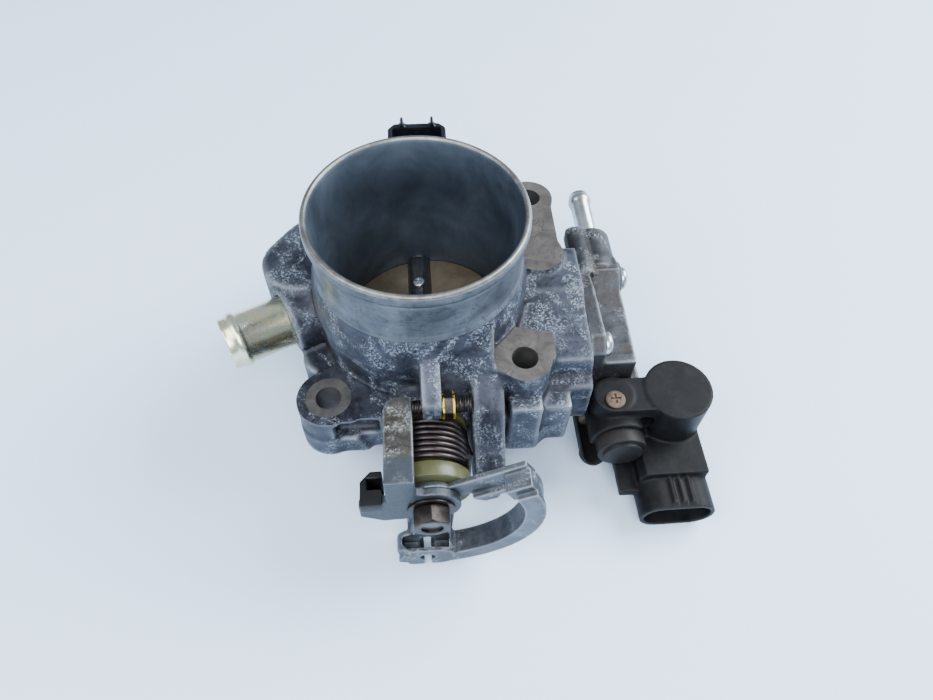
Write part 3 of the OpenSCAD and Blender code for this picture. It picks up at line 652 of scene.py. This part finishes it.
# %% Mould the actuator and the sensor
actuator = cast_blank("idle_actuator_body", "actuator_moulding", 0.45, 3)
dressed(actuator, "housing", "black_plastic", actuator_plastic, replaces=["idle_actuator_body"])
sensor = cast_blank("position_sensor_body", "sensor_moulding", 0.5, 3)
dressed(sensor, "housing", "black_plastic", connector_plastic, replaces=["position_sensor_body"])

# %% Cast the cam and the stop lever
cam = cast_blank("throttle_cam", "cable_cam", 0.36, 4)
dressed(cam, "throttle", "linkage_metal", cam_cast, replaces=["throttle_cam"])
lever = cast_blank("stop_lever", "stop_lever_casting", 0.36, 4)
dressed(lever, "throttle", "linkage_metal", lever_cast, replaces=["stop_lever"])


# %% [markdown]
# ## Pipes
#
# Both pipes are drawn steel tube with a rolled bead that stops the hose slipping off. The bead is
# a smooth swelling, so its profile is half a sine wave between two straight stretches.

# %% Turn the air pipe and the coolant nipple
def beaded_tube(outer, inner, start, end, bead_start, bead_end, bead_height, lip=0.5):
    """Profile of a hose pipe: outside with a rolled bead, a rounded mouth, and the inside."""
    bead = [(outer + bead_height * math.sin(math.pi * i / 8) ** 0.8,
             bead_start + (bead_end - bead_start) * i / 8) for i in range(9)]
    mouth = [(outer - lip * (1 - math.cos(a)), end - lip + lip * math.sin(a))
             for a in (0.0, 0.5, 1.0, 1.4)]
    return [(outer, start), *bead, *mouth, (inner + lip * 0.8, end - 0.1), (inner, end - 0.9),
            (inner, start)]


pipe_turn = math.radians(205)
pipe_heading = Vector((math.cos(pipe_turn), math.sin(pipe_turn), 0))
air_pipe = laid(turned("plated_air_pipe", beaded_tube(9.0, 7.5, -11.5, 23, 16.6, 20.4, 0.9), 96),
                (-46, -2, 23), pipe_heading)
dressed(air_pipe, "housing", "zinc_pipe", zinc_plate, replaces=["air_pipe"], crease=45)
nipple_low, nipple_high = box_mm("coolant_nipple")
nipple = laid(turned("plated_nipple", beaded_tube(3.9, 2.8, 0, nipple_high.y - nipple_low.y,
                                                  28.2, 32.4, 0.7, 0.6), 72),
              (67, nipple_low.y, 19), (0, 1, 0))
dressed(nipple, "housing", "bright_steel", bright_steel, replaces=["coolant_nipple"], crease=45)


# %% [markdown]
# ## Small turned and stamped parts
#
# Shaft, plate, collars, clip and caps already have their true shape. A machinist breaks every
# edge, so each copy gets a small bevel, which is what catches the light.

# %% Ease the edges of the small parts
# Node, moving body, slot, finish and the width of the bevel in mm.
small_parts = [
    ("throttle_shaft", "throttle", "dark_steel", dark_steel, 0.25),
    ("throttle_plate", "throttle", "plate_brass", plate_brass, 0.2),
    ("front_spring_collar", "throttle", "nylon", olive_nylon, 0.35),
    ("rear_spring_collar", "housing", "nylon", olive_nylon, 0.35),
    ("lever_bumper", "throttle", "black_plastic", clip_plastic, 0.45),
    ("shaft_washer", "throttle", "brown_steel", brown_steel, 0.2),
    ("actuator_end_cap", "housing", "black_plastic", cap_plastic, 0.4),
    ("coolant_core_plug", "housing", "bright_steel", bright_steel, 0.3),
    ("front_bearing", "housing", "bronze", bronze, 0.2),
    ("rear_bearing", "housing", "bronze", bronze, 0.2),
    ("position_sensor_rotor", "throttle", "nylon", white_nylon, 0.2),
    ("idle_valve_rotor", "idle_rotor", "bright_steel", bright_steel, 0.2),
    ("idle_rotor_magnet", "idle_rotor", "dark_steel", dark_steel, 0.2),
    ("idle_valve_bush", "housing", "bronze", bronze, 0.2),
    ("actuator_base_cover", "housing", "black_plastic", cap_plastic, 0.25),
    ("actuator_coil", "housing", "copper", copper_wire, 0.3),
    ("front_shaft_seal", "housing", "rubber_seal", seal_rubber, 0.2),
    ("rear_shaft_seal", "housing", "rubber_seal", seal_rubber, 0.2),
    ("position_sensor_seal", "housing", "rubber_seal", seal_rubber, 0.1),
    ("actuator_seal_ring", "housing", "rubber_seal", seal_rubber, 0.06),
    ("idle_valve_gasket", "housing", "rubber_seal", seal_rubber, 0.1),
]
for node, body, slot, finish, width in small_parts:
    part = eased(merged_copy(node, node + "_eased"), width)
    dressed(part, body, slot, finish, replaces=[node])


# %% [markdown]
# ## Nuts and the stop screw
#
# A hexagon nut is a six-sided bar with its corners turned off by a cone. The stop screw has a
# real thread: one ridge that climbs as a helix, which Geometry Nodes sweep along a spiral.

# %% Make a hexagon nut
def hex_nut(name, across, height, hole, crown):
    """A nut about Z from 0 to height, chamfered to a disc of radius crown at both faces."""
    nut = turned(name, [(0, 0), (across / math.sqrt(3), 0), (across / math.sqrt(3), height),
                        (0, height)], 6)
    corner = across / math.sqrt(3) + 0.3
    chamfer = (corner - crown) * 0.6
    lathe = turned("lathe", [(crown, -1), (crown, 0), (corner, chamfer),
                             (corner, height - chamfer), (crown, height),
                             (crown, height + 1), (corner + 3, height + 1), (corner + 3, -1)], 96)
    return eased(machined(nut, lathe, turned("hole", [(0, -1), (hole, -1), (hole, height + 1),
                                                      (0, height + 1)], 64)), 0.15)


shaft_nut = hex_nut("crowned_shaft_nut", 11, nut_high.y - nut_low.y, 3.42, 5.3)
shaft_nut.data.transform(Matrix.Rotation(math.radians(30), 4, "Z"))
laid(shaft_nut, (0, nut_low.y, shaft_z), (0, 1, 0))
dressed(shaft_nut, "throttle", "brown_steel", brown_steel, replaces=["shaft_nut"])
stop_y = (lock_low.y + lock_high.y) / 2
stop_z = (lock_low.z + lock_high.z) / 2
locknut = laid(hex_nut("crowned_locknut", 8, lock_high.x - lock_low.x, 2.45, 3.9),
               (lock_low.x, stop_y, stop_z), (1, 0, 0))
dressed(locknut, "housing", "brown_steel", painted_steel, replaces=["stop_screw_locknut"])


# %% Write small helpers for node trees
def new_tree(name, **inputs):
    """A Geometry Nodes tree with named inputs; values give each its kind and default."""
    tree = bpy.data.node_groups.new(name, "GeometryNodeTree")
    tree.interface.new_socket("Geometry", in_out="OUTPUT", socket_type="NodeSocketGeometry")
    tree.interface.new_socket("Geometry", in_out="INPUT", socket_type="NodeSocketGeometry")
    for label, value in inputs.items():
        kind = ("NodeSocketMaterial" if isinstance(value, bpy.types.Material) else
                "NodeSocketObject" if isinstance(value, bpy.types.Object) else
                "NodeSocketInt" if isinstance(value, int) else
                "NodeSocketVector" if hasattr(value, "__len__") else "NodeSocketFloat")
        socket = tree.interface.new_socket(label, in_out="INPUT", socket_type=kind)
        if kind in ("NodeSocketInt", "NodeSocketFloat", "NodeSocketVector"):
            socket.default_value = value
    return tree, tree.nodes.new("NodeGroupInput"), tree.nodes.new("NodeGroupOutput")


def linked(tree, kind, settings=None, **sources):
    """Adds a node and feeds its inputs; underscores in a key stand for spaces."""
    node = tree.nodes.new(kind)
    for key, value in (settings or {}).items():
        setattr(node, key, value)
    for label, source in sources.items():
        socket = node.inputs[label.replace("_", " ")]
        if isinstance(source, bpy.types.NodeSocket):
            tree.links.new(source, socket)
        else:
            socket.default_value = source
    return node


def closed_with(tree, output, geometry, material):
    """Every tree ends in real geometry with a material on it."""
    shaded = linked(tree, "GeometryNodeSetShadeSmooth", Geometry=geometry)
    real = linked(tree, "GeometryNodeRealizeInstances", Geometry=shaded.outputs[0])
    painted = linked(tree, "GeometryNodeSetMaterial", Geometry=real.outputs[0], Material=material)
    tree.links.new(painted.outputs[0], output.inputs[0])


def grown(name, tree, **values):
    """Runs a tree on an empty mesh and keeps the result as a plain mesh."""
    piece = add_piece(name, bpy.data.meshes.new(name))
    nodes = piece.modifiers.new("nodes", "NODES")
    nodes.node_group = tree
    for item in tree.interface.items_tree:
        label = item.name.replace(" ", "_")
        if item.in_out == "INPUT" and label in values:
            nodes[item.identifier] = values[label]
    return settle(piece)


# %% Grow the threaded stop screw
thread_tree, given, result = new_tree("thread", Core_Radius=2.0 * MM, Ridge=0.4 * MM,
                                      Length=18 * MM, Turns=22.0, Steel=brown_steel)
core = linked(thread_tree, "GeometryNodeMeshCylinder", Vertices=48,
              Radius=given.outputs["Core_Radius"], Depth=given.outputs["Length"])
helix = linked(thread_tree, "GeometryNodeCurveSpiral", Resolution=32,
               Rotations=given.outputs["Turns"], Start_Radius=given.outputs["Core_Radius"],
               End_Radius=given.outputs["Core_Radius"], Height=given.outputs["Length"])
ridge = linked(thread_tree, "GeometryNodeCurvePrimitiveCircle", Resolution=6,
               Radius=given.outputs["Ridge"])
sweep = linked(thread_tree, "GeometryNodeCurveToMesh", Curve=helix.outputs[0],
               Profile_Curve=ridge.outputs[0], Fill_Caps=True)
half = linked(thread_tree, "ShaderNodeMath", {"operation": "MULTIPLY"})
thread_tree.links.new(given.outputs["Length"], half.inputs[0])
half.inputs[1].default_value = 0.5
lift = linked(thread_tree, "ShaderNodeCombineXYZ", Z=half.outputs[0])
raised = linked(thread_tree, "GeometryNodeTransform", Geometry=core.outputs[0],
                Translation=lift.outputs[0])
both = thread_tree.nodes.new("GeometryNodeJoinGeometry")
for part in (raised, sweep):
    thread_tree.links.new(part.outputs[0], both.inputs[0])
closed_with(thread_tree, result, both.outputs[0], given.outputs["Steel"])
screw_low, screw_high = box_mm("idle_stop_screw")
screw_length = screw_high.x - screw_low.x
thread_pitch = 0.8
stop_screw = grown("threaded_stop_screw", thread_tree, Core_Radius=2.05 * MM, Ridge=0.34 * MM,
                   Length=screw_length * MM, Turns=screw_length / thread_pitch, Steel=brown_steel)
laid(stop_screw, (screw_low.x, stop_y, stop_z), (1, 0, 0))
dressed(stop_screw, "housing", "brown_steel", thread_steel, replaces=["idle_stop_screw"])


# %% [markdown]
# ## The return spring
#
# Round wire is wound on a mandrel. The tree sweeps a wire-sized circle along a spiral and adds two
# straight ends: the tail hooks the anchor arm, and the hook in front pushes on the cam.

# %% Wind the return spring
spring_tree, given, result = new_tree(
    "coil_spring", Coil_Radius=12.2 * MM, Wire_Radius=0.9 * MM, Length=13 * MM, Turns=7.0,
    Centre=(0.0, 0.0, 0.0), Lie=(0.0, 0.0, 0.0), Tail_Start=(0.0, 0.0, 0.0),
    Tail_End=(0.0, 0.0, 0.0), Hook_Start=(0.0, 0.0, 0.0), Hook_End=(0.0, 0.0, 0.0),
    Steel=spring_steel)
coil = linked(spring_tree, "GeometryNodeCurveSpiral", Resolution=72,
              Rotations=given.outputs["Turns"], Start_Radius=given.outputs["Coil_Radius"],
              End_Radius=given.outputs["Coil_Radius"], Height=given.outputs["Length"])
turned_coil = linked(spring_tree, "GeometryNodeTransform", Geometry=coil.outputs[0],
                     Translation=given.outputs["Centre"], Rotation=given.outputs["Lie"])
tail = linked(spring_tree, "GeometryNodeCurvePrimitiveLine", Start=given.outputs["Tail_Start"],
              End=given.outputs["Tail_End"])
hook = linked(spring_tree, "GeometryNodeCurvePrimitiveLine", Start=given.outputs["Hook_Start"],
              End=given.outputs["Hook_End"])
wires = spring_tree.nodes.new("GeometryNodeJoinGeometry")
for part in (turned_coil, tail, hook):
    spring_tree.links.new(part.outputs[0], wires.inputs[0])
wire = linked(spring_tree, "GeometryNodeCurvePrimitiveCircle", Resolution=14,
              Radius=given.outputs["Wire_Radius"])
swept = linked(spring_tree, "GeometryNodeCurveToMesh", Curve=wires.outputs[0],
               Profile_Curve=wire.outputs[0], Fill_Caps=True)
closed_with(spring_tree, result, swept.outputs[0], given.outputs["Steel"])
coil_low, coil_high = box_mm("return_spring")
wire_r = 0.9
coil_r = shaft_z - coil_low.z - wire_r - 0.05
coil_front, coil_back = coil_low.y + 0.1, coil_high.y - 0.1
tail_root = (11.4 * MM, (coil_back - 5) * MM, (shaft_z + 4.5) * MM)
tail_tip = ((coil_high.x - 0.6) * MM, (coil_back - 8) * MM, (shaft_z - 2) * MM)
hook_root = (coil_r * MM, (coil_front + wire_r) * MM, shaft_z * MM)
hook_tip = (coil_r * MM, (coil_front + wire_r) * MM, (shaft_z + 11) * MM)
spring = grown("wound_return_spring", spring_tree, Coil_Radius=coil_r * MM,
               Wire_Radius=wire_r * MM, Length=(coil_back - coil_front - 2 * wire_r) * MM,
               Turns=7.25, Centre=(0, (coil_back - wire_r) * MM, shaft_z * MM),
               Lie=(math.radians(90), 0, 0), Tail_Start=tail_root, Tail_End=tail_tip,
               Hook_Start=hook_root, Hook_End=hook_tip,
               Steel=spring_steel)
dressed(spring, "housing", "dark_steel", spring_steel, replaces=["return_spring"], crease=60)


# %% [markdown]
# ## Screws
#
# Every screw here is a pan head with a cross recess, in five sizes. One screw is turned and milled
# for each set, and a tree seats a copy on each hole.

# %% Turn a screw and seat copies of it
seat_tree, given, result = new_tree("seated_screws", Screw=cam, Holes=cam,
                                    Lie=(0.0, 0.0, 0.0), Steel=bright_steel)
holes = linked(seat_tree, "GeometryNodeObjectInfo", Object=given.outputs["Holes"])
screw_shape = linked(seat_tree, "GeometryNodeObjectInfo", Object=given.outputs["Screw"])
lie = linked(seat_tree, "FunctionNodeEulerToRotation", Euler=given.outputs["Lie"])
seats = linked(seat_tree, "GeometryNodeInstanceOnPoints", Points=holes.outputs["Geometry"],
               Instance=screw_shape.outputs["Geometry"], Rotation=lie.outputs[0])
closed_with(seat_tree, result, seats.outputs[0], given.outputs["Steel"])


def pan_screw(head_r, head_h, shank_r, shank_l):
    """A screw about Z: the seat of its head at 0, and the shank below."""
    dome = [(head_r * math.cos(a) ** 0.55, head_h * (0.35 + 0.65 * math.sin(a)))
            for a in [math.pi / 2 * i / 9 for i in range(9)]]
    body = turned("screw", [(0, -shank_l), (shank_r * 0.8, -shank_l), (shank_r, -shank_l + 0.6),
                            (shank_r, 0), (head_r * 0.97, 0), (head_r, head_h * 0.12), *dome,
                            (0, head_h)], 48)
    slot_w = head_r * 0.11
    reach = head_r * 0.56
    deep = head_h * 0.45
    return machined(body, block("slot", (-reach, -slot_w, deep), (reach, slot_w, head_h + 1)),
                    block("slot", (-slot_w, -reach, deep), (slot_w, reach, head_h + 1)),
                    turned("pit", [(0, deep - 0.2), (slot_w * 2.2, head_h + 0.6),
                                   (0, head_h + 0.6)], 24))


def seated_screws(name, node, head, heading, places, finish, slot, body):
    """Screws that share a heading; head lists what pan_screw takes, and places are the seats."""
    screw = pan_screw(*head)
    mesh = bpy.data.meshes.new("holes")
    mesh.from_pydata([Vector(place) * MM for place in places], [], [])
    hole_marks = add_piece("holes", mesh)
    turn = Vector((0, 0, 1)).rotation_difference(Vector(heading)).to_euler()
    piece = grown(name, seat_tree, Screw=screw, Holes=hole_marks, Lie=tuple(turn), Steel=finish)
    bpy.data.objects.remove(screw)
    bpy.data.objects.remove(hole_marks)
    return dressed(piece, body, slot, finish, replaces=[node], crease=40)


plate_tilt = math.radians(7)
plate_up = Vector((-math.sin(plate_tilt), 0, math.cos(plate_tilt)))
seated_screws("plate_screws_set", "plate_screws", (2.4, 1.3, 1.5, 8), plate_up,
              [Vector((0, side * 16.5, shaft_z)) + plate_up * 3.82 for side in (-1, 1)],
              bright_steel, "bright_steel", "throttle")
seated_screws("valve_housing_screws", "idle_housing_screws", (4.4, 2.8, 1.8, 15), (1, 0, 0),
              [(75.25, 14, 18), (62.05, -20, 23.6), (73.85, 15.5, 4)],
              bright_steel, "bright_steel", "housing")
seated_screws("actuator_flange_screws", "actuator_screws", (3.2, 2, 1.5, 11), (0, -1, 0),
              [(58.8, -31.55, -6.5), (76, -31.55, 3.6)], rusty_steel, "rusty_steel", "housing")
seated_screws("actuator_button_screw", "actuator_screws", (3.4, 1.2, 1.5, 5), (0, 0, 1),
              [(65, -36.2, 13.05)], rusty_steel, "rusty_steel", "housing")
seated_screws("sensor_screws", "position_sensor_screws", (4.2, 2.6, 1.85, 12), (0, 1, 0),
              [(-17, 45.05, shaft_z), (17, 45.05, shaft_z)], bright_steel, "bright_steel",
              "housing")


# %% [markdown]
# ## Terminals
#
# Each plug socket holds a row of flat blades with a bevelled tip. A tree repeats one blade along
# a line.

# %% Grow the rows of terminals
blade_tree, given, result = new_tree("terminal_row", Blade=cam, Count=3,
                                     First=(0.0, 0.0, 0.0), Step=(4.0 * MM, 0.0, 0.0),
                                     Metal=contact_metal)
row = linked(blade_tree, "GeometryNodeMeshLine", Count=given.outputs["Count"],
             Start_Location=given.outputs["First"], Offset=given.outputs["Step"])
blade_shape = linked(blade_tree, "GeometryNodeObjectInfo", Object=given.outputs["Blade"])
blades = linked(blade_tree, "GeometryNodeInstanceOnPoints", Points=row.outputs[0],
                Instance=blade_shape.outputs["Geometry"])
closed_with(blade_tree, result, blades.outputs[0], given.outputs["Metal"])


def terminal_row(name, node, step):
    """Three blades, step mm apart along X, that fill the node's own box."""
    low, high = box_mm(node)
    size = high - low - Vector((2 * step, 0, 0))
    first = low + size / 2
    blade = eased(block("blade", -size / 2, size / 2), 0.12)
    piece = grown(name, blade_tree, Blade=blade, Count=3, First=tuple(first * MM),
                  Step=(step * MM, 0, 0), Metal=contact_metal)
    bpy.data.objects.remove(blade)
    return dressed(piece, "housing", "contact_metal", contact_metal, replaces=[node])


terminal_row("actuator_blades", "actuator_terminals", 4.4)
terminal_row("sensor_blades", "position_sensor_terminals", 4)


# %% [markdown]
# ## Floor, light and camera
#
# The part lies on a pale sheet under soft daylight. One big lamp from the upper right gives the
# metal its shape, two weaker ones from the left and the front open the shadows, and the world is
# a pale blue-white.

# %% Lay the floor
floor_mesh = bpy.data.meshes.new("floor")
half_floor = 3.0
floor_z = cad_box[0][Z] - 0.2 * MM
floor_mesh.from_pydata([(-half_floor, -half_floor, floor_z), (half_floor, -half_floor, floor_z),
                        (half_floor, half_floor, floor_z), (-half_floor, half_floor, floor_z)],
                       [], [(0, 1, 2, 3)])
floor = add_piece("floor", floor_mesh)
sheet = Finish("pale_sheet", roughness=0.6)
floor.data.materials.append(sheet.wear(sheet.mix(sheet.noise(180, detail=2),
                                                 (0.64, 0.78, 0.98), (0.68, 0.81, 0.99))))


# %% Hang the lamps
def lamp(name, at, power, colour):
    """A square area lamp that faces the part; at is in metres and power in watts."""
    light = bpy.data.lights.new(name, "AREA")
    light.size = 0.8
    light.energy = power
    light.color = colour
    holder = bpy.data.objects.new(name, light)
    bpy.context.scene.collection.objects.link(holder)
    holder.location = at
    holder.rotation_euler = (-Vector(at)).to_track_quat("-Z", "Y").to_euler()


lamp("window", (0.95, 0.3, 0.8), 42, (0.88, 0.95, 1.0))
lamp("room", (-0.8, -0.3, 0.9), 15, (0.92, 0.96, 1.0))
lamp("front_fill", (0.0, -0.8, 1.0), 20, (0.9, 0.955, 1.0))
world = bpy.data.worlds.new("soft_daylight")
bpy.context.scene.world = world
world.use_nodes = True
background = world.node_tree.nodes["Background"]
background.inputs["Color"].default_value = (0.7, 0.84, 1.0, 1)
background.inputs["Strength"].default_value = 0.75

# %% Place the camera
camera_data = bpy.data.cameras.new("camera")
camera_data.lens = 27.0
camera_data.sensor_width = 36.0
camera = bpy.data.objects.new("camera", camera_data)
bpy.context.scene.collection.objects.link(camera)
stand = Vector((0.29, -156.13, 218.53)) * MM
heading, pitch, roll = math.radians(-6), math.radians(54.83), math.radians(2)
camera.matrix_world = (Matrix.Translation(stand)
                       @ Matrix.Rotation(heading, 4, "Z")
                       @ Matrix.Rotation(math.pi / 2 - pitch, 4, "X")
                       @ Matrix.Rotation(roll, 4, "Z"))
bpy.context.scene.camera = camera
print("camera stands", round(stand.length / MM), "mm from the flange")
